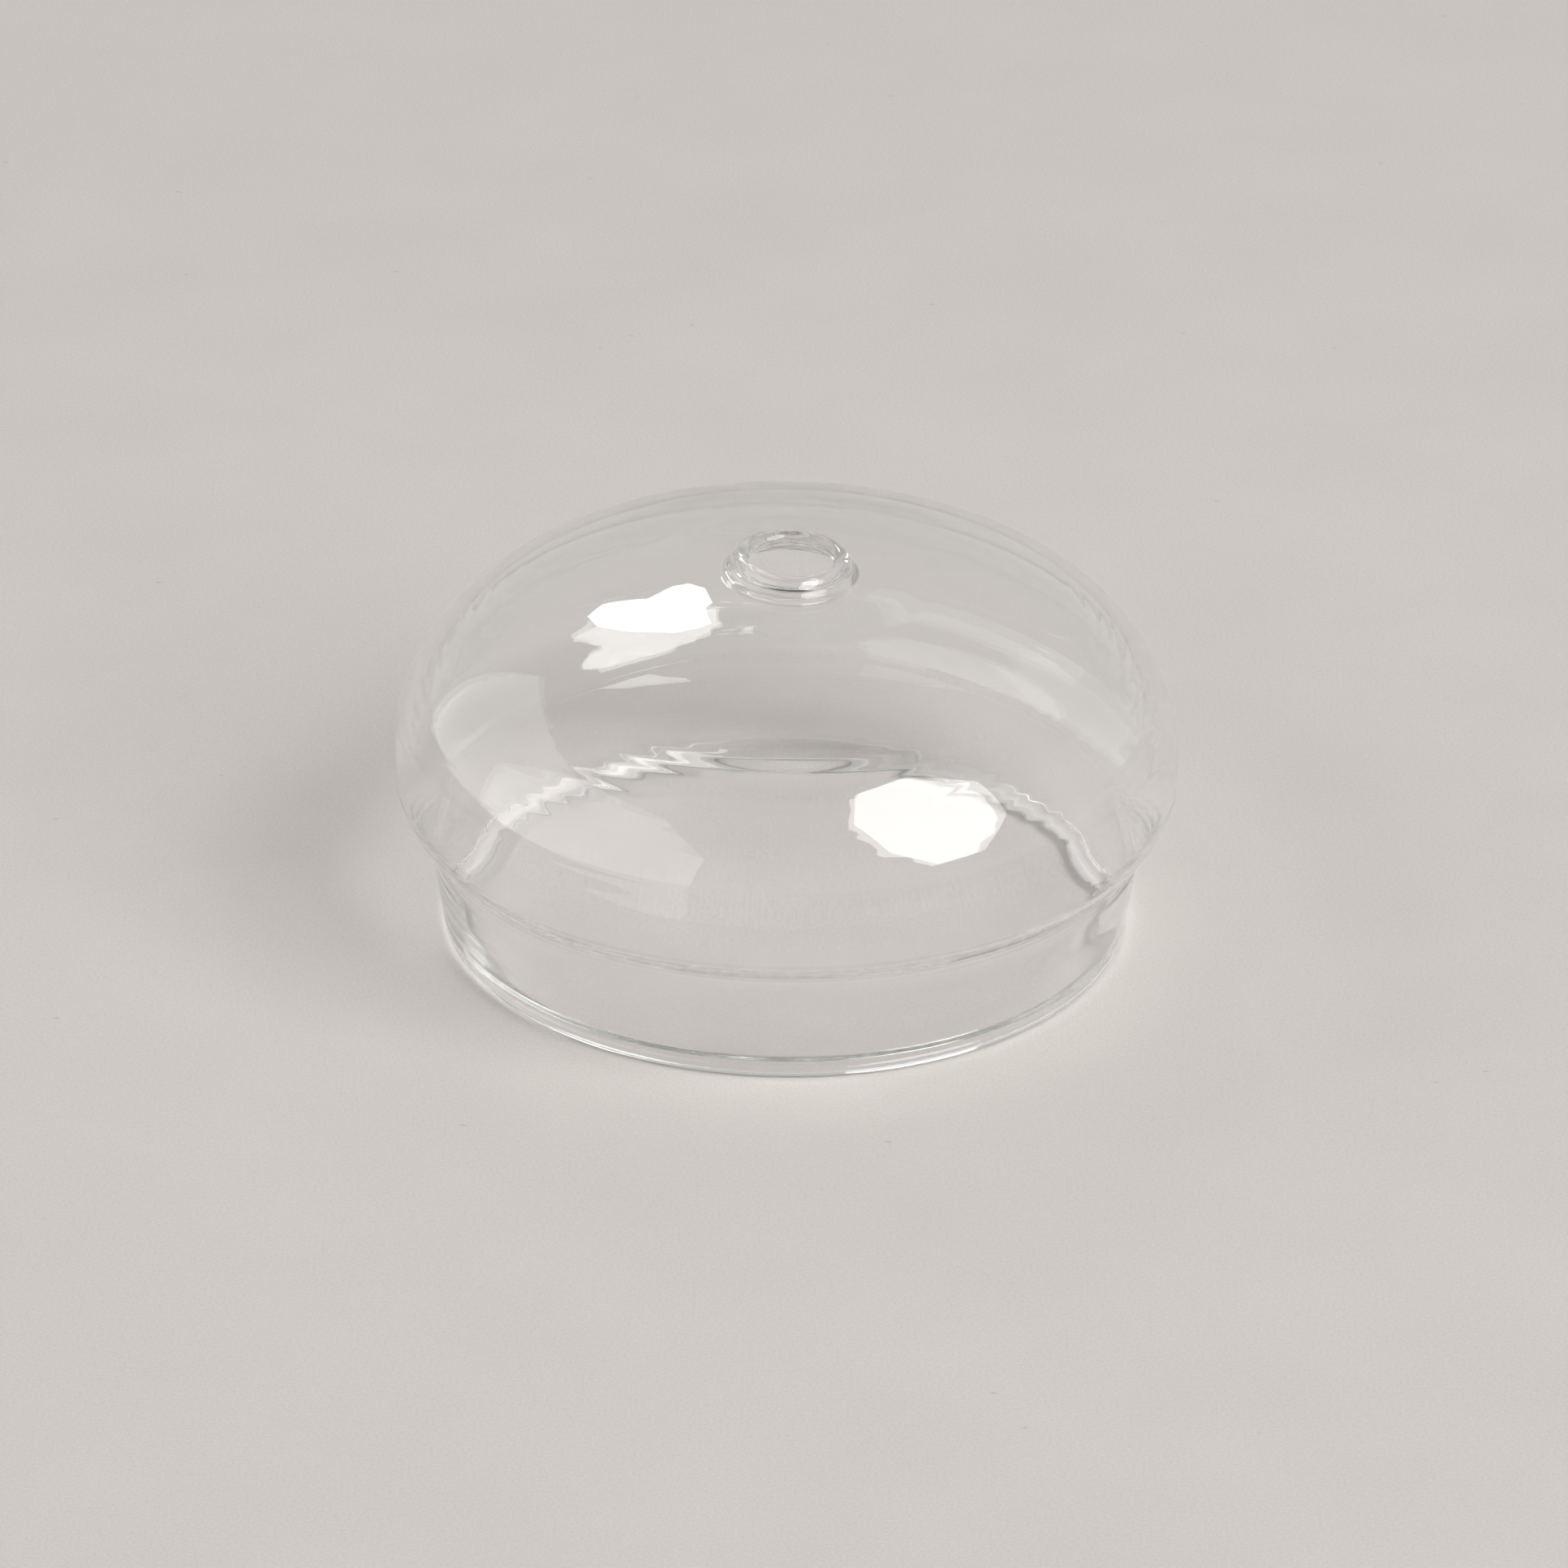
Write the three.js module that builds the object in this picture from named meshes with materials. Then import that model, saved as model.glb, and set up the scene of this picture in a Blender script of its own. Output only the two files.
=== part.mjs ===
// Bell jar dome: a low glass cover with a plug-in skirt below and a small vent in its crown.
//
// Units are millimetres and +Z is up. The origin is the centre of the ring that the foot stands on.
// The finished cover is one piece of glass, turned and blown on a glass lathe. It is laid out here
// as its six worked members, in the order in which they follow each other up the wall: foot rim,
// skirt wall, shoulder roll, dome haunch, dome crown and vent collar. Each hot seam is left open by
// SEAM_GAP.

import * as THREE from 'three';

// Driving dimensions
const SKIRT_RADIUS = 41.85; // of the skirt's outer line, carried down to the ground
const SKIRT_TAPER = THREE.MathUtils.degToRad(8.5); // the skirt widens upwards
const SHOULDER_RADIUS = 47.9; // outside of the cover at its widest
const SHOULDER_HEIGHT = 21.0; // height of the widest place
const CROWN_HEIGHT = 46.9; // height that the dome's outer skin would reach at its middle
const LIP_HEIGHT = 48.9; // top of the vent's rounded lip, and of the cover
const VENT_RADIUS = 5.05; // clear opening of the vent
const WALL = 2.0; // glass thickness
const SEAM_GAP = 0.3; // between two members

// Rounding
const BEAD_ROUND = 1.42; // the bead to which the foot is melted; it stands out inwards
const BEAD_LAND = 0.8; // width of the flat ring on which the bead stands
const BEAD_CREASE = 0.3; // hollow above the bead, on the inside
const THROAT_ROUND = 6.0; // hollow between the skirt and the shoulder's underside
const UNDERSIDE_ROUND = 7.0; // underside of the shoulder
const DOME_POWER_OUT = 3.1; // 2 is an ellipse; higher is fuller towards the side
const DOME_POWER_UP = 2.2; // higher is flatter towards the crown
const LIP_ROUND = 1.2; // the vent's bead
const FLARE_ROUND = 0.5; // hollow between the crown and the bead
const VENT_MOUTH_ROUND = 1.0; // lower edge of the vent

// Where the members part
const FOOT_SEAM = 3.4; // up the wall from the foot
const THROAT_SEAM = 0.2; // down the wall from the throat's rounding
const ROLL_SEAM_SHARE = 0.24; // of the dome's quarter turn: the shoulder roll ends
const HAUNCH_SEAM_SHARE = 0.64; // of the dome's quarter turn: the haunch ends
const COLLAR_SEAM = 0.4; // outwards from the flare's rounding

// Facets
const AROUND = 64; // around the axis
const DOME_STEPS = 14; // along the dome's quarter turn
const ARC_STEPS = 4; // along each small rounding
const QUARTER = Math.PI / 2;

// Directions on a section of the skirt, with radius as x and height as y
const wallUp = new THREE.Vector2(Math.sin(SKIRT_TAPER), Math.cos(SKIRT_TAPER));
const wallOut = new THREE.Vector2(Math.cos(SKIRT_TAPER), -Math.sin(SKIRT_TAPER));

// A place on the wall: a point of the outer skin, and the direction out of the glass there.
function place(point, out) {
  return { point, out: out.clone().normalize() };
}

function steps(count) {
  return Array.from({ length: count + 1 }, (_, index) => index / count);
}

// Places along a round stretch about a centre. A hollow stretch has its centre outside the glass.
function roundPlaces(centre, round, from, to, hollow = false) {
  return steps(ARC_STEPS).map((share) => {
    const angle = from + (to - from) * share;
    const spoke = new THREE.Vector2(Math.cos(angle), Math.sin(angle));
    const point = centre.clone().addScaledVector(spoke, round);
    return place(point, hollow ? spoke.negate() : spoke);
  });
}

// A place on the skirt's straight wall, by its distance up the wall.
function skirtPlace(along) {
  const point = new THREE.Vector2(SKIRT_RADIUS, 0).addScaledVector(wallUp, along);
  return place(point, wallOut);
}

// The throat's rounding touches the skirt's straight wall and the shoulder's underside.
const undersideCentre = new THREE.Vector2(SHOULDER_RADIUS - UNDERSIDE_ROUND, SHOULDER_HEIGHT);
const throatTrack = new THREE.Vector2(SKIRT_RADIUS, 0).addScaledVector(wallOut, THROAT_ROUND);
const fromUnderside = throatTrack.clone().sub(undersideCentre);
const nearest = -fromUnderside.dot(wallUp);
const reach = UNDERSIDE_ROUND + THROAT_ROUND;
const throatAlong = nearest - Math.sqrt(nearest ** 2 - fromUnderside.lengthSq() + reach ** 2);
const throatCentre = throatTrack.clone().addScaledVector(wallUp, throatAlong);
const throatTurn = undersideCentre.clone().sub(throatCentre).angle();
const throatSeam = throatAlong - THROAT_SEAM;

// The dome is a superellipse quarter, from the widest place (turn 0) to the middle (turn QUARTER).
function domePlace(turn) {
  const rise = CROWN_HEIGHT - SHOULDER_HEIGHT;
  const across = Math.cos(turn) ** (2 / DOME_POWER_OUT);
  const up = Math.sin(turn) ** (2 / DOME_POWER_UP);
  const out = new THREE.Vector2(
    DOME_POWER_OUT * across ** (DOME_POWER_OUT - 1) / SHOULDER_RADIUS,
    DOME_POWER_UP * up ** (DOME_POWER_UP - 1) / rise,
  );
  return place(new THREE.Vector2(SHOULDER_RADIUS * across, SHOULDER_HEIGHT + rise * up), out);
}

function domeTurnAtRadius(radius) {
  return Math.acos((radius / SHOULDER_RADIUS) ** (DOME_POWER_OUT / 2));
}

// The turn past a seam that lies at a share of the quarter turn.
function turnPastSeam(share) {
  const probe = 1e-4;
  const turn = share * QUARTER;
  const speed = domePlace(turn).point.distanceTo(domePlace(turn + probe).point) / probe;
  return turn + SEAM_GAP / speed;
}

function domePlaces(fromTurn, toTurn) {
  const count = Math.max(3, Math.round(DOME_STEPS * (toTurn - fromTurn) / QUARTER));
  return steps(count).map((share) => domePlace(fromTurn + (toTurn - fromTurn) * share));
}

// The flare's rounding touches the crown and the vent's bead.
const lipCentre = new THREE.Vector2(VENT_RADIUS + LIP_ROUND, LIP_HEIGHT - LIP_ROUND);
const flareUp = CROWN_HEIGHT + FLARE_ROUND - lipCentre.y;
const flareOut = Math.sqrt((LIP_ROUND + FLARE_ROUND) ** 2 - flareUp ** 2);
const flareCentre = new THREE.Vector2(lipCentre.x + flareOut, CROWN_HEIGHT + FLARE_ROUND);
const flareTurn = Math.atan2(flareUp, flareOut);
const collarSeamRadius = flareCentre.x + COLLAR_SEAM;

// Outline of a stretch of wall: up the outer skin and back down the inner one.
function wallOutline(places) {
  const outer = places.map(({ point }) => point);
  const inner = places.map(({ point, out }) => point.clone().addScaledVector(out, -WALL));
  return [...outer, ...inner.reverse()];
}

// The foot's bead touches the outer skin, and its crease touches the inner one.
const beadHeight = Math.sqrt(BEAD_ROUND ** 2 - (BEAD_LAND / 2) ** 2);
const beadAlong = (beadHeight + BEAD_ROUND * wallOut.y) / wallUp.y;
const beadCentre = skirtPlace(beadAlong).point.addScaledVector(wallOut, -BEAD_ROUND);
const creaseIn = WALL + BEAD_CREASE - BEAD_ROUND;
const creaseUp = Math.sqrt((BEAD_ROUND + BEAD_CREASE) ** 2 - creaseIn ** 2);
const creaseCentre = beadCentre.clone()
  .addScaledVector(wallOut, -creaseIn)
  .addScaledVector(wallUp, creaseUp);
const creaseTurn = creaseCentre.clone().sub(beadCentre).angle();
const landTurn = Math.asin(BEAD_LAND / 2 / BEAD_ROUND);

function footOutline() {
  const seam = skirtPlace(FOOT_SEAM);
  const rim = [
    ...roundPlaces(creaseCentre, BEAD_CREASE, -SKIRT_TAPER, creaseTurn - 2 * QUARTER, true),
    ...roundPlaces(beadCentre, BEAD_ROUND, creaseTurn, 3 * QUARTER - landTurn).slice(1),
    ...roundPlaces(beadCentre, BEAD_ROUND, 3 * QUARTER + landTurn, 4 * QUARTER - SKIRT_TAPER),
  ];
  return [...rim.map(({ point }) => point), ...wallOutline([seam])];
}

function skirtOutline() {
  return wallOutline([skirtPlace(FOOT_SEAM + SEAM_GAP), skirtPlace(throatSeam)]);
}

function rollOutline() {
  const throatFrom = 2 * QUARTER - SKIRT_TAPER;
  return wallOutline([
    skirtPlace(throatSeam + SEAM_GAP),
    ...roundPlaces(throatCentre, THROAT_ROUND, throatFrom, throatTurn, true).slice(1),
    ...roundPlaces(undersideCentre, UNDERSIDE_ROUND, throatTurn - 2 * QUARTER, 0).slice(1),
    ...domePlaces(0, ROLL_SEAM_SHARE * QUARTER).slice(1),
  ]);
}

function haunchOutline() {
  return wallOutline(domePlaces(turnPastSeam(ROLL_SEAM_SHARE), HAUNCH_SEAM_SHARE * QUARTER));
}

function crownOutline() {
  const toTurn = domeTurnAtRadius(collarSeamRadius + SEAM_GAP);
  return wallOutline(domePlaces(turnPastSeam(HAUNCH_SEAM_SHARE), toTurn));
}

function collarOutline() {
  const seam = domePlace(domeTurnAtRadius(collarSeamRadius)).point;
  const underCrown = CROWN_HEIGHT - WALL;
  const mouthCentre = new THREE.Vector2(
    VENT_RADIUS + VENT_MOUTH_ROUND,
    underCrown + VENT_MOUTH_ROUND,
  );
  const edge = [
    ...roundPlaces(flareCentre, FLARE_ROUND, -QUARTER, flareTurn - 2 * QUARTER, true),
    ...roundPlaces(lipCentre, LIP_ROUND, flareTurn, QUARTER).slice(1),
    ...roundPlaces(lipCentre, LIP_ROUND, QUARTER, 2 * QUARTER).slice(1),
    ...roundPlaces(mouthCentre, VENT_MOUTH_ROUND, 2 * QUARTER, 3 * QUARTER),
  ];
  return [
    seam,
    ...edge.map(({ point }) => point),
    new THREE.Vector2(seam.x, seam.y - WALL),
  ];
}

// A ring of glass turned from its closed outline, with its axis along +Z.
function turned(outline) {
  const geometry = new THREE.LatheGeometry([...outline, outline[0].clone()], AROUND);
  geometry.rotateX(QUARTER);
  return geometry;
}

function clearGlass() {
  return new THREE.MeshStandardMaterial({
    color: 0xe4e7e2,
    roughness: 0.03,
    metalness: 0,
    transparent: true,
    opacity: 0.35,
  });
}

const members = {
  foot_rim: footOutline(),
  skirt_wall: skirtOutline(),
  shoulder_roll: rollOutline(),
  dome_haunch: haunchOutline(),
  dome_crown: crownOutline(),
  vent_collar: collarOutline(),
};

const cover = new THREE.Group();
for (const [name, outline] of Object.entries(members)) {
  const member = new THREE.Mesh(turned(outline), clearGlass());
  member.name = name;
  cover.add(member);
}

export default cover;
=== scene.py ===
"""Looks of the glass bell jar dome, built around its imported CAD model."""
import math

import bpy
import numpy as np
from mathutils import Matrix, Vector


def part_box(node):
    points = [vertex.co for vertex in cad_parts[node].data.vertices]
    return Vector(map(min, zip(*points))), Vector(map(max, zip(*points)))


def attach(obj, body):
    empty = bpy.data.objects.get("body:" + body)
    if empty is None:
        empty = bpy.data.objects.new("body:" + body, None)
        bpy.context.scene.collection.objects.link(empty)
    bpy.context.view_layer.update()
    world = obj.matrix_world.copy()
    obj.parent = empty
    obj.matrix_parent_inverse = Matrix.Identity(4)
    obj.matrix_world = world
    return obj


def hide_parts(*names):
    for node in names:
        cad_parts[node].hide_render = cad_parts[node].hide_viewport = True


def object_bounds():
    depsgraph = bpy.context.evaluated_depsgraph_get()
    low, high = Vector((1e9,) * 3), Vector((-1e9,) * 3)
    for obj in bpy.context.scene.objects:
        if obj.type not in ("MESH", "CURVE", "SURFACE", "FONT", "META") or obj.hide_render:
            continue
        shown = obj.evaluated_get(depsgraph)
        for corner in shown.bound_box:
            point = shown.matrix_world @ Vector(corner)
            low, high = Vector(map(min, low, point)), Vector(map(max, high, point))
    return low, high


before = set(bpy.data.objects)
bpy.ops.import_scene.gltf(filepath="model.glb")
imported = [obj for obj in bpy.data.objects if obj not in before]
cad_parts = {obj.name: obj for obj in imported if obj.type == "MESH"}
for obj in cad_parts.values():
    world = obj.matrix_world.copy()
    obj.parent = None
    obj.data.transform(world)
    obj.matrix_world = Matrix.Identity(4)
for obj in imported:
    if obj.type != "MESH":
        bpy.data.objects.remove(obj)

CAD_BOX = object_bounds()
MM = 0.001

# ---------------------------------------------------------------- shape, in millimetres

WALL_SHAPE = {
    "taper": math.radians(8.5),  # of the skirt, which widens upwards
    "bead": 1.35,  # radius of the bead to which the foot is melted
    "crease_round": 0.3,  # hollow above the bead on the inside
    "throat_round": 6.0,  # hollow between the skirt and the shoulder's underside
    "underside_round": 7.0,  # underside of the shoulder
    "power_out": 3.1,  # fullness of the dome towards its side
    "power_up": 2.2,  # flatness of the dome towards its crown
}
SHOULDER_HEIGHT = 21.0
VENT_RADIUS = 5.1
NODE_WALL = 2.0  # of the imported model

# Glass thickness against the share of the way up the skin, from the foot to the vent
WALL_KNOTS = ((0.0, 1.5), (0.2, 1.15), (0.36, 2.2), (0.5, 2.3), (1.0, 1.7))
CAVITY_SHIFT = -0.25  # along X: the inside is blown a little off centre

# The rim of the vent is a round lip that stands on the crown, hollowed a little below
LIP_ROUND = 1.05
LIP_CENTRE = 1.0  # above the crown
LIP_CREASE = 1.1
LIP_HOLLOW = 1.9
HOLLOW_INSIDE = 5.8
HOLLOW_OUTSIDE = 8.4
EDGE_ROUND_BELOW = 1.0
JOIN_CLEAR = 0.05  # no point of the inside lies closer than this to the round below

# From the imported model: its widest place, its crown below the lip, and its skirt's outer line
# carried down to the ground
SHOULDER_RADIUS = CAD_BOX[1][0] / MM
CROWN_HEIGHT = CAD_BOX[1][2] / MM - LIP_CENTRE - LIP_ROUND
SKIRT_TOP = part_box("skirt_wall")[1]
SKIRT_RADIUS = SKIRT_TOP[0] / MM - math.tan(WALL_SHAPE["taper"]) * (
    SKIRT_TOP[2] / MM - NODE_WALL * math.sin(WALL_SHAPE["taper"])
)

# Hand-worked lean of the vent
VENT_SHIFT = (0.3, 0.8)
VENT_LEAN = (math.radians(2.0), math.radians(-1.0))  # down towards +X and +Y
LEAN_INSIDE = 8.5
LEAN_OUTSIDE = 18.0
SHIFT_OUTSIDE = 32.0

# Fine rings that the forming tool left on the inside: length along the skin, height, wander
RINGS = ((1.72, 0.0070, 0.5), (2.63, 0.0060, -0.8), (4.40, 0.0060, 0.9), (1.13, 0.0022, 1.7))
RING_FADE_TURN = 31.0  # radians from one ring's fading around the axis to the next one's
RINGED_FROM = 23.0  # height at which the rings set in, and over how much they do
RINGED_FROM_OVER = 6.0
RINGED_TO = 41.0  # height by which they have gone
RINGED_TO_OVER = 5.0

# The inside keeps its place near the foot and the vent: where it is free, and over how much
FREE_HEIGHT = 2.0
FREE_HEIGHT_OVER = 6.0
FREE_RADIUS = 7.0
FREE_RADIUS_OVER = 3.0

AROUND = 216
OUTER_STEP = 0.8
INNER_STEP = 0.26
ARC_STEP = math.radians(11)
SKIRT_POINTS = 40
DOME_POINTS = 400


def smooth_step(x):
    """From 0 to 1, level at both ends."""
    x = np.clip(x, 0.0, 1.0)
    return x * x * (3 - 2 * x)


def arc(centre, radius, start, end, hollow=False):
    """Rows of radius, height and outward direction along a round stretch."""
    count = max(3, math.ceil(abs(end - start) / ARC_STEP))
    turn = np.linspace(start, end, count + 1)
    spoke = np.stack([np.cos(turn), np.sin(turn)], 1)
    return np.hstack([np.array(centre) + radius * spoke, -spoke if hollow else spoke])




def skirt_frame():
    """A point on the skirt's outer line, and the directions up along it and out from it."""
    taper = WALL_SHAPE["taper"]
    up = np.array([math.sin(taper), math.cos(taper)])
    out = np.array([math.cos(taper), -math.sin(taper)])
    return np.array([SKIRT_RADIUS, 0.0]), up, out


def foot_bead():
    """The round foot, from the crease above it on the inside, and where it meets the skirt's sides."""
    foot, up, out = skirt_frame()
    taper, bead, crease = WALL_SHAPE["taper"], WALL_SHAPE["bead"], WALL_SHAPE["crease_round"]
    outer_start = bead * (1 + out[1]) / up[1]
    centre = foot - bead * out + outer_start * up
    across = WALL_KNOTS[0][1] + crease - bead
    rise = math.sqrt((bead + crease) ** 2 - across**2)
    crease_centre = centre - across * out + rise * up
    turn = math.atan2(*(centre - crease_centre)[::-1])
    hollow = arc(crease_centre, crease, -taper, turn, hollow=True)
    round_foot = arc(centre, bead, math.pi + turn, 2 * math.pi - taper)
    return np.vstack([hollow[1:-1], round_foot]), outer_start, outer_start + rise


def outer_skin(start):
    """Rows of radius, height and outward direction from a place on the skirt to the vent's edge."""
    foot, up, out = skirt_frame()
    taper = WALL_SHAPE["taper"]
    throat, under = WALL_SHAPE["throat_round"], WALL_SHAPE["underside_round"]
    under_centre = np.array([SHOULDER_RADIUS - under, SHOULDER_HEIGHT])
    track = foot + throat * out - under_centre
    nearest = -track @ up
    along = nearest - math.sqrt(nearest**2 - track @ track + (under + throat) ** 2)
    throat_centre = foot + throat * out + along * up
    gap = under_centre - throat_centre
    turn = math.atan2(gap[1], gap[0])

    wall = foot + np.linspace(start, along, SKIRT_POINTS)[:, None] * up
    wall = np.hstack([wall, np.tile(out, (len(wall), 1))])
    hollow = arc(throat_centre, throat, math.pi - taper, turn, hollow=True)
    roll = arc(under_centre, under, turn - math.pi, 0)

    power_out, power_up = WALL_SHAPE["power_out"], WALL_SHAPE["power_up"]
    rise = CROWN_HEIGHT - SHOULDER_HEIGHT
    edge = VENT_RADIUS + EDGE_ROUND_BELOW
    last = math.acos((edge / SHOULDER_RADIUS) ** (power_out / 2))
    turns = np.linspace(0, last, DOME_POINTS)
    across = np.cos(turns) ** (2 / power_out)
    height = np.sin(turns) ** (2 / power_up)
    normal = np.stack([
        power_out * across ** (power_out - 1) / SHOULDER_RADIUS,
        power_up * height ** (power_up - 1) / rise,
    ], 1)
    normal /= np.linalg.norm(normal, axis=1)[:, None]
    dome = np.stack([SHOULDER_RADIUS * across, SHOULDER_HEIGHT + rise * height], 1)
    dome = np.hstack([dome, normal])
    return np.vstack([wall[:-1], hollow[:-1], roll[:-1], dome])


def length_along(points):
    """Length from the first point to each."""
    hops = np.hypot(*np.diff(points, axis=0).T)
    return np.concatenate([[0.0], np.cumsum(hops)])


def resample(points, step):
    """The same line with points an even step apart."""
    along = length_along(points)
    count = round(along[-1] / step)
    places = np.linspace(0, along[-1], count + 1)
    return np.stack([np.interp(places, along, points[:, i]) for i in range(2)], 1)


def lip(crown):
    """The vent's lip, from the crease around it over the top to the inside, and where the crease begins."""
    centre = np.array([VENT_RADIUS + LIP_ROUND, crown + LIP_CENTRE])
    across = math.sqrt((LIP_ROUND + LIP_CREASE) ** 2 - (LIP_CREASE - LIP_CENTRE) ** 2)
    crease_centre = centre + np.array([across, LIP_CREASE - LIP_CENTRE])
    turn = math.atan2(*(centre - crease_centre)[::-1])
    hollow = arc(crease_centre, LIP_CREASE, -math.pi / 2, turn, hollow=True)
    return np.vstack([hollow, arc(centre, LIP_ROUND, math.pi + turn, math.pi)[1:]]), crease_centre[0]


def section():
    """The glass cut in half: a closed loop of radius and height, and the part that is inside."""
    bead, outer_start, inner_start = foot_bead()
    skin = outer_skin(outer_start)
    along = length_along(skin[:, :2])
    above_crease = along > inner_start - outer_start
    along /= along[-1]
    shares, walls = zip(*WALL_KNOTS)
    wall = smooth_curve(along, shares, walls)
    outer, inner = skin[:, :2].copy(), skin[:, :2] - wall[:, None] * skin[:, 2:]
    hollow = (inner[:, 0] - HOLLOW_INSIDE) / (HOLLOW_OUTSIDE - HOLLOW_INSIDE)
    inner[:, 1] += LIP_HOLLOW * (1 - smooth_step(hollow))
    crown = np.interp(-VENT_RADIUS - 2 * LIP_ROUND - LIP_CREASE, -outer[:, 0], outer[:, 1])
    upper, crease_start = lip(crown)
    outer = outer[outer[:, 0] > crease_start]
    outer, inner = resample(outer, OUTER_STEP), resample(inner[above_crease], INNER_STEP)

    bottom = inner[-1]
    inner = inner[inner[:, 0] > VENT_RADIUS + EDGE_ROUND_BELOW + JOIN_CLEAR]
    lower = arc(
        (VENT_RADIUS + EDGE_ROUND_BELOW, bottom[1] + EDGE_ROUND_BELOW),
        EDGE_ROUND_BELOW, math.pi, 1.5 * math.pi,
    )
    loop = np.vstack([bead[:, :2], outer[1:-1], upper[:, :2], lower[:-1, :2], inner[::-1]])
    inside = np.zeros(len(loop))
    inside[-len(inner):] = 1.0
    return loop, inside


def smooth_curve(x, xs, ys):
    """A smooth curve that passes level through its knots."""
    place = np.clip(np.searchsorted(xs, x) - 1, 0, len(xs) - 2)
    xs, ys = np.array(xs), np.array(ys)
    share = (x - xs[place]) / (xs[place + 1] - xs[place])
    return ys[place] + (ys[place + 1] - ys[place]) * smooth_step(share)


def glass_points():
    """Places of all vertices in millimetres, as rings around the axis by points of the section."""
    loop, inside = section()
    along = length_along(loop)
    tangent = np.gradient(loop, along, axis=0)
    normal = np.stack([tangent[:, 1], -tangent[:, 0]], 1)
    normal /= np.linalg.norm(normal, axis=1)[:, None]
    angle = np.arange(AROUND)[:, None] * 2 * math.pi / AROUND

    push = np.zeros((AROUND, len(loop)))
    for index, (length, swell, wander) in enumerate(RINGS):
        drift = wander * np.sin(angle + index) + 0.6 * np.sin(2 * angle + 2.1 * index)
        fade = 0.7 + 0.3 * np.sin(3 * angle + RING_FADE_TURN * index + along / 9.0)
        push += swell * fade * np.sin(2 * math.pi * along / length + drift)
    free = smooth_step((loop[:, 1] - FREE_HEIGHT) / FREE_HEIGHT_OVER)
    free *= smooth_step((loop[:, 0] - FREE_RADIUS) / FREE_RADIUS_OVER)
    ringed = smooth_step((loop[:, 1] - RINGED_FROM) / RINGED_FROM_OVER)
    ringed *= smooth_step((RINGED_TO - loop[:, 1]) / RINGED_TO_OVER)
    push *= inside * ringed * free

    radius = loop[:, 0] + push * normal[:, 0]
    height = loop[:, 1] + push * normal[:, 1]
    x = radius * np.cos(angle) + CAVITY_SHIFT * inside * free
    y = radius * np.sin(angle)
    return lean(np.stack([x, y, height], -1))


def lean(points):
    """Shift and tip the glass around the vent."""
    radius = np.hypot(points[..., 0], points[..., 1])
    on_dome = points[..., 2] > SHOULDER_HEIGHT
    share = on_dome * (1 - smooth_step((radius - LEAN_INSIDE) / (SHIFT_OUTSIDE - LEAN_INSIDE)))
    near = on_dome * (1 - smooth_step((radius - LEAN_INSIDE) / (LEAN_OUTSIDE - LEAN_INSIDE)))
    fall = math.tan(VENT_LEAN[0]) * points[..., 0] + math.tan(VENT_LEAN[1]) * points[..., 1]
    points[..., 2] -= fall * near
    points[..., 0] += VENT_SHIFT[0] * share
    points[..., 1] += VENT_SHIFT[1] * share
    return points


def add_glass():
    """The mesh: rings of places, closed around the axis and around the section."""
    points = glass_points()
    rings, places = points.shape[:2]
    index = np.arange(rings * places).reshape(rings, places)
    after = np.roll(index, -1, axis=0)
    up = np.roll(index, -1, axis=1)
    corner = np.roll(after, -1, axis=1)
    quads = np.stack([index, after, corner, up], -1).reshape(-1, 4)
    mesh = bpy.data.meshes.new("glass_dome")
    mesh.from_pydata((points.reshape(-1, 3) * MM).tolist(), [], quads.tolist())
    mesh.polygons.foreach_set("use_smooth", [True] * len(mesh.polygons))
    mesh.update()
    dome = bpy.data.objects.new("glass_dome", mesh)
    bpy.context.collection.objects.link(dome)
    return dome


# ---------------------------------------------------------------- materials

PAPER_COLOUR = (0.528, 0.500, 0.476)
GLASS_IOR = 1.473  # of borosilicate
GLASS_TINT = (1.0, 1.0, 1.0)
GLASS_DEPTH_COLOUR = (0.82, 0.85, 0.79, 1.0)
GLASS_DEPTH_DENSITY = 7.0  # per metre


def new_material(name):
    material = bpy.data.materials.new(name)
    material.use_nodes = True
    nodes = material.node_tree.nodes
    return material, nodes, material.node_tree.links, nodes["Principled BSDF"]


def add_noise(tree, place, scale, detail, rough=0.5):
    node = tree.nodes.new("ShaderNodeTexNoise")
    node.inputs["Scale"].default_value = scale
    node.inputs["Detail"].default_value = detail
    node.inputs["Roughness"].default_value = rough
    tree.links.new(place, node.inputs["Vector"])
    return node.outputs["Fac"]


def spread(tree, value, low, high, to_low, to_high):
    """Map one range of values to another, and clamp it there."""
    node = tree.nodes.new("ShaderNodeMapRange")
    for name, number in zip(("From Min", "From Max", "To Min", "To Max"), (low, high, to_low, to_high)):
        node.inputs[name].default_value = number
    tree.links.new(value, node.inputs["Value"])
    return node.outputs["Result"]


def times(tree, first, second):
    node = tree.nodes.new("ShaderNodeMath")
    node.operation = "MULTIPLY"
    tree.links.new(first, node.inputs[0])
    tree.links.new(second, node.inputs[1])
    return node.outputs[0]


def stretched(tree, place, scale, shift):
    """A place scaled by axis and shifted."""
    node = tree.nodes.new("ShaderNodeVectorMath")
    node.operation = "MULTIPLY_ADD"
    node.inputs[1].default_value = scale
    node.inputs[2].default_value = shift
    tree.links.new(place, node.inputs[0])
    return node.outputs["Vector"]


def tinted(tree, colour, tone):
    """A colour at the brightness of a tone."""
    node = tree.nodes.new("ShaderNodeVectorMath")
    node.operation = "SCALE"
    node.inputs[0].default_value = colour
    tree.links.new(tone, node.inputs["Scale"])
    return node.outputs["Vector"]


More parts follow.
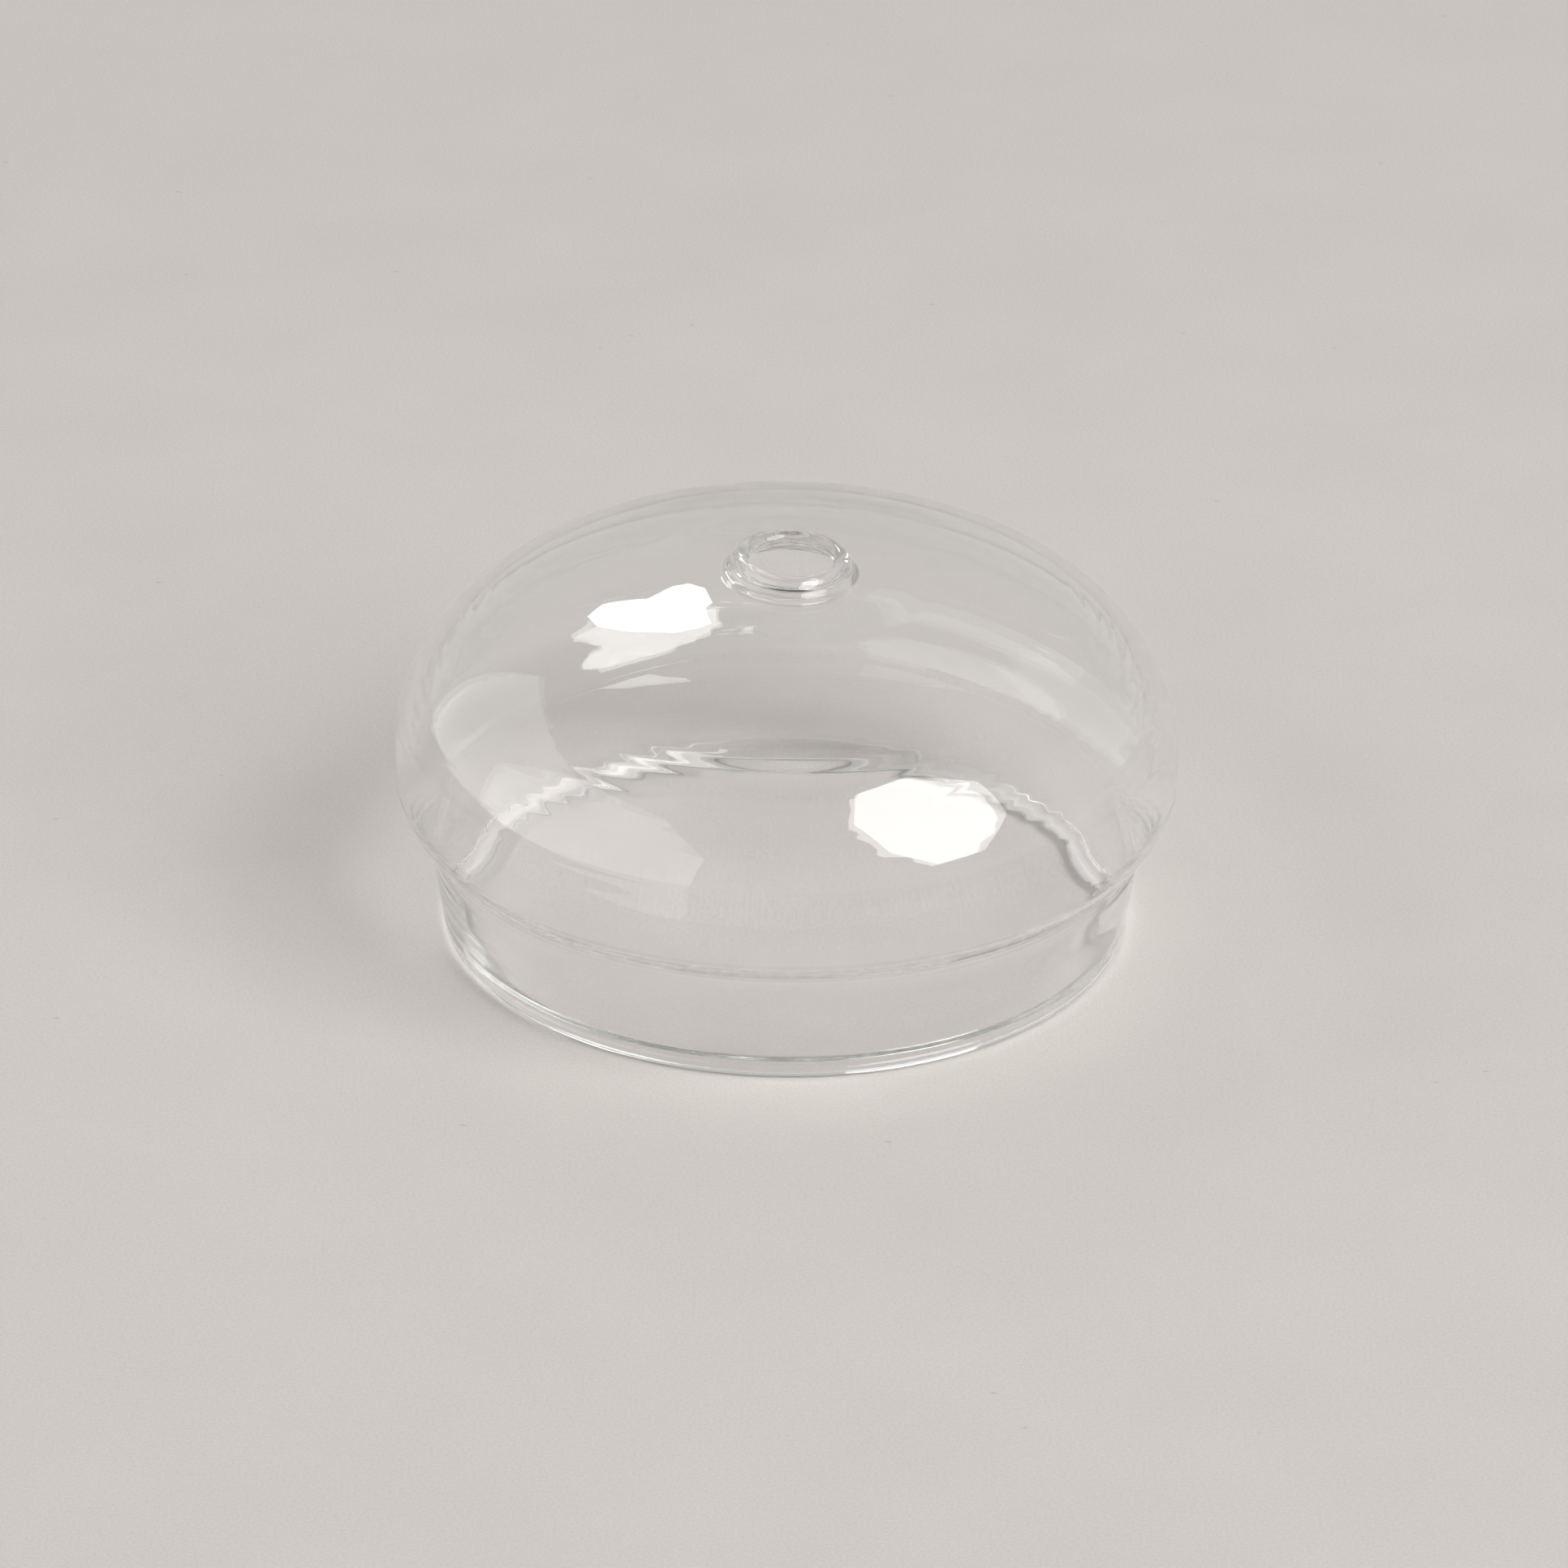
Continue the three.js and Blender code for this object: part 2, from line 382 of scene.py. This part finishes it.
def glass_material():
    """Clear borosilicate: faint flat streaks in the melt, wiping marks, and a grey green cast in depth."""
    material, nodes, links, shader = new_material("clear_glass")
    tree = material.node_tree
    place = nodes.new("ShaderNodeTexCoord").outputs["Object"]
    layers = stretched(tree, place, (1.0, 1.0, 6.0), (0.2, 0.4, 0.0))
    streaks = spread(tree, add_noise(tree, layers, 55.0, 4.0), 0.3, 0.7, 0.975, 1.0)
    links.new(tinted(tree, GLASS_TINT, streaks), shader.inputs["Base Color"])
    wiped = stretched(tree, place, (1.0, 2.5, 1.0), (0.7, 0.1, 0.3))
    marks = spread(tree, add_noise(tree, wiped, 38.0, 6.0, 0.6), 0.5, 0.8, 0.0, 0.03)
    links.new(marks, shader.inputs["Roughness"])
    shader.inputs["IOR"].default_value = GLASS_IOR
    shader.inputs["Transmission Weight"].default_value = 1.0
    depth = nodes.new("ShaderNodeVolumeAbsorption")
    depth.inputs["Color"].default_value = GLASS_DEPTH_COLOUR
    depth.inputs["Density"].default_value = GLASS_DEPTH_DENSITY
    links.new(depth.outputs["Volume"], nodes["Material Output"].inputs["Volume"])
    return material


def paper_material():
    """Warm white paper: a fine pressed grain, cloudy tone, specks, and painted shade that makes it a little
    darker far away.
    """
    material, nodes, links, shader = new_material("paper")
    tree = material.node_tree
    place = nodes.new("ShaderNodeTexCoord").outputs["Object"]

    distance = nodes.new("ShaderNodeVectorMath")
    distance.operation = "LENGTH"
    links.new(place, distance.inputs[0])
    # painted shade: the paper's colour gets a little darker away from the dome, standing in for less light
    # falling there
    far = spread(tree, distance.outputs["Value"], 0.11, 0.19, 1.0, 0.985)
    grain = spread(tree, add_noise(tree, place, 2600.0, 3.0, 0.7), 0.3, 0.7, 0.93, 1.07)
    clouds = spread(tree, add_noise(tree, place, 42.0, 3.0), 0.3, 0.7, 0.985, 1.015)

    flecks = nodes.new("ShaderNodeTexVoronoi")
    flecks.inputs["Scale"].default_value = 55.0
    links.new(stretched(tree, place, (1.0, 3.0, 1.0), (0.3, 0.7, 0.0)), flecks.inputs["Vector"])
    specks = spread(tree, flecks.outputs["Distance"], 0.012, 0.03, 0.72, 1.0)

    tone = times(tree, times(tree, grain, clouds), times(tree, far, specks))
    links.new(tinted(tree, PAPER_COLOUR, tone), shader.inputs["Base Color"])

    bump = nodes.new("ShaderNodeBump")
    bump.inputs["Strength"].default_value = 0.25
    bump.inputs["Distance"].default_value = 0.0001
    links.new(add_noise(tree, place, 1500.0, 4.0, 0.65), bump.inputs["Height"])
    links.new(bump.outputs["Normal"], shader.inputs["Normal"])
    shader.inputs["Roughness"].default_value = 0.95
    shader.inputs["Specular IOR Level"].default_value = 0.1
    return material


# ---------------------------------------------------------------- stage

STAGE_CENTRE = Vector((0, 0, 0.03))


def add_floor():
    """A plain sheet of paper, far wider than the view."""
    half = 4.0
    corners = [(-half, -half, 0), (half, -half, 0), (half, half, 0), (-half, half, 0)]
    mesh = bpy.data.meshes.new("paper")
    mesh.from_pydata(corners, [], [(0, 1, 2, 3)])
    mesh.materials.append(paper_material())
    floor = bpy.data.objects.new("paper", mesh)
    bpy.context.collection.objects.link(floor)


def direction(azimuth, elevation):
    """Where a place lies as seen from the object, by two angles in degrees."""
    azimuth, elevation = math.radians(azimuth), math.radians(elevation)
    flat = math.cos(elevation)
    return Vector((flat * math.cos(azimuth), flat * math.sin(azimuth), math.sin(elevation)))


def add_softbox(name, distance, azimuth, elevation, half_width, half_height, radiance, octagon=False):
    """A soft light by where it stands, its half sizes as seen from the object, and its brightness."""
    out = direction(azimuth, elevation)
    side = Vector((0, 0, 1)).cross(out).normalized()
    light = bpy.data.lights.new(name, "AREA")
    light.shape = "RECTANGLE"
    light.size = 2 * distance * math.tan(math.radians(half_width))
    light.size_y = 2 * distance * math.tan(math.radians(half_height))
    light.energy = math.pi * light.size * light.size_y * radiance
    if octagon:
        cut_corners(light)
    lamp = bpy.data.objects.new(name, light)
    bpy.context.collection.objects.link(lamp)
    lamp.rotation_euler = Matrix((side, out.cross(side), out)).transposed().to_euler()
    lamp.location = STAGE_CENTRE + distance * out
    lamp.visible_camera = False


def cut_corners(light):
    """Darken a square light's corners, so that an octagon is left."""
    light.use_nodes = True
    nodes, links = light.node_tree.nodes, light.node_tree.links

    def math_node(operation, first, second=None):
        node = nodes.new("ShaderNodeMath")
        node.operation = operation
        links.new(first, node.inputs[0])
        if isinstance(second, float):
            node.inputs[1].default_value = second
        elif second is not None:
            links.new(second, node.inputs[1])
        return node.outputs[0]

    across = nodes.new("ShaderNodeSeparateXYZ")
    links.new(nodes.new("ShaderNodeNewGeometry").outputs["Parametric"], across.inputs[0])
    offsets = [math_node("ABSOLUTE", math_node("SUBTRACT", across.outputs[i], 0.5)) for i in range(2)]
    diagonal = math_node("ADD", *offsets)
    inside = math_node("LESS_THAN", diagonal, math.sqrt(0.5))
    links.new(inside, nodes["Emission"].inputs["Strength"])


def new_ramp(nodes, links, value, stops):
    """Warm grey levels by a value from 0 to 1."""
    ramp = nodes.new("ShaderNodeValToRGB")
    links.new(value, ramp.inputs[0])
    elements = ramp.color_ramp.elements
    while len(elements) < len(stops):
        elements.new(0.5)
    for element, (place, level) in zip(elements, stops):
        element.position = place
        element.color = (level, 0.985 * level, 0.96 * level, 1)
    return ramp.outputs["Color"]


# Grey levels of the room against the height of the direction, from 0 level to 1 straight up
FRONT_WALL = ((0.0, 0.84), (0.4, 0.70))
BACK_WALL = ((0.0, 0.66), (0.25, 0.50))
CEILING = ((0.85, 0.45), (0.93, 0.03))


def add_surroundings():
    """A pale room that is brighter near the ground, with a dark ceiling."""
    world = bpy.data.worlds.new("room")
    bpy.context.scene.world = world
    world.use_nodes = True
    nodes, links = world.node_tree.nodes, world.node_tree.links
    split = nodes.new("ShaderNodeSeparateXYZ")
    links.new(nodes.new("ShaderNodeTexCoord").outputs["Generated"], split.inputs[0])
    front = new_ramp(nodes, links, split.outputs["Z"], FRONT_WALL + CEILING)
    back = new_ramp(nodes, links, split.outputs["Z"], BACK_WALL + CEILING)
    toward_back = nodes.new("ShaderNodeMapRange")
    toward_back.inputs["From Min"].default_value = -0.4
    toward_back.inputs["From Max"].default_value = 0.5
    links.new(split.outputs["Y"], toward_back.inputs["Value"])
    blend = nodes.new("ShaderNodeMix")
    blend.data_type = "RGBA"
    links.new(toward_back.outputs["Result"], blend.inputs["Factor"])
    links.new(front, blend.inputs[6])
    links.new(back, blend.inputs[7])
    links.new(blend.outputs[2], nodes["Background"].inputs["Color"])


# ---------------------------------------------------------------- camera

CAMERA_ELEVATION = 28.0
CAMERA_DISTANCE = 1.2
CAMERA_ROLL = math.radians(-0.78)
CAMERA_LENS = 223.6
AIM = Vector((-0.25, 7.35, 13.82)) * MM


def add_camera():
    """Long lens from the front, above, turned a little about its own axis."""
    out = direction(-90, CAMERA_ELEVATION)
    side = Vector((1, 0, 0))
    turn = Matrix((side, out.cross(side), out)).transposed() @ Matrix.Rotation(-CAMERA_ROLL, 3, "Z")
    camera = bpy.data.objects.new("camera", bpy.data.cameras.new("camera"))
    camera.data.lens = CAMERA_LENS
    camera.data.sensor_width = 36.0
    camera.data.clip_start = 0.01
    camera.data.clip_end = 50.0
    camera.rotation_euler = turn.to_euler()
    camera.location = AIM + CAMERA_DISTANCE * out
    bpy.context.collection.objects.link(camera)
    bpy.context.scene.camera = camera


LIGHT_BOUNCES = 48  # light runs a long way inside the glass at its edges


def set_light_transport():
    """Let light pass through the glass and be focused by it."""
    scene = bpy.context.scene
    scene.view_settings.view_transform = "Standard"
    scene.cycles.blur_glossy = 0.0
    scene.cycles.max_bounces = LIGHT_BOUNCES
    scene.cycles.transmission_bounces = LIGHT_BOUNCES
    scene.cycles.glossy_bounces = LIGHT_BOUNCES
    scene.cycles.use_denoising = True


add_camera()
add_floor()
add_surroundings()
# Name, distance, azimuth, elevation, half width, half height, radiance; metres and degrees
add_softbox("key", 3.5, -38.5, 38, 18.5, 26.5, 6.3, octagon=True)
add_softbox("back", 2.0, 100.5, 34.5, 5.0, 3.4, 7.0, octagon=True)
add_softbox("left panel", 3.0, -152, 14, 36, 29, 1.0, octagon=True)
add_softbox("rear panel", 3.0, 163, 22, 26, 22, 0.8)
set_light_transport()

dome = add_glass()
dome.data.materials.append(glass_material())
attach(dome, "root")
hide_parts("foot_rim", "skirt_wall", "shoulder_roll", "dome_haunch", "dome_crown", "vent_collar")
